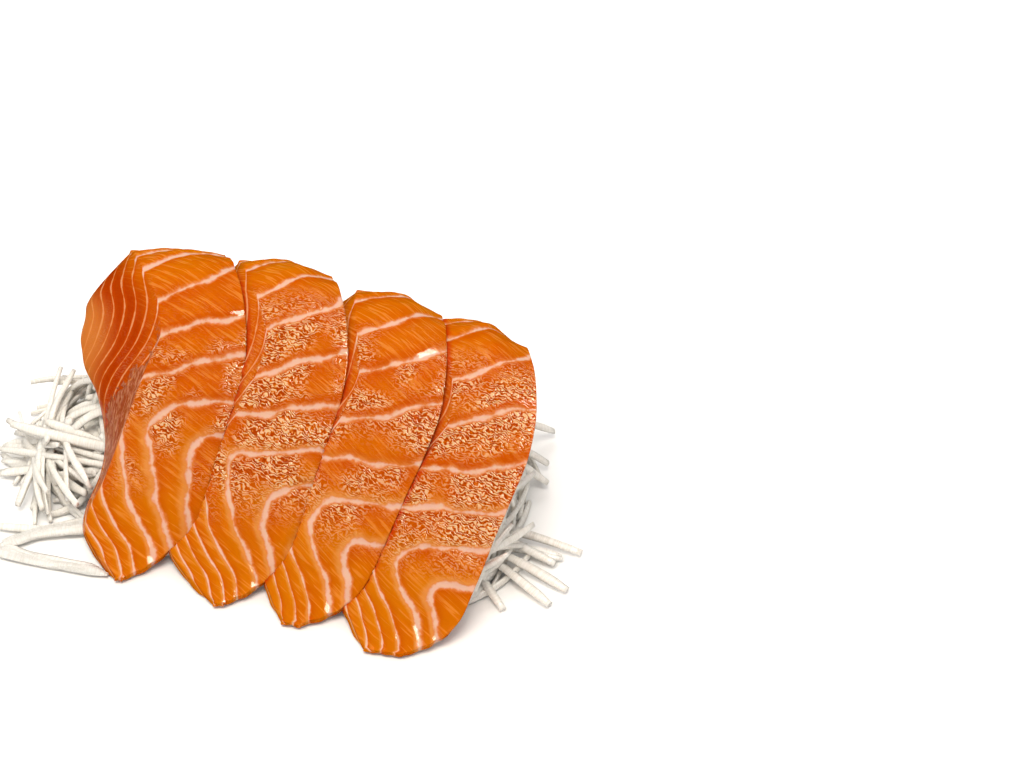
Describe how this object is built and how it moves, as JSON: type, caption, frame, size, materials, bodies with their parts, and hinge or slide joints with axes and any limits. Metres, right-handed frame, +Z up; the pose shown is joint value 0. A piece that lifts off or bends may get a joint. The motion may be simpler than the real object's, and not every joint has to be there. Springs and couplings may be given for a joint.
{
  "type": "salmon sashimi",
  "caption": "Overlapping slices of raw salmon, fanned in a row and draped over a low bed of shredded daikon radish.",
  "frame": {"origin": "middle of the footprint, on the surface the bed of daikon lies on", "axes": "+X along the row from the slice on top to the one at the bottom, +Y from the slices' tips to their back ends, +Z up"},
  "size_m": [0.1125, 0.0818, 0.0354],
  "materials": {
    "salmon": "raw salmon: orange flesh with pale pink fat lines, wet and glossy",
    "daikon": "shredded daikon radish: white, moist and slightly translucent"
  },
  "bodies": {
    "root": {"slice_1": "salmon", "slice_2": "salmon", "slice_3": "salmon", "slice_4": "salmon", "daikon_bed": "daikon"}
  },
  "joints": []
}
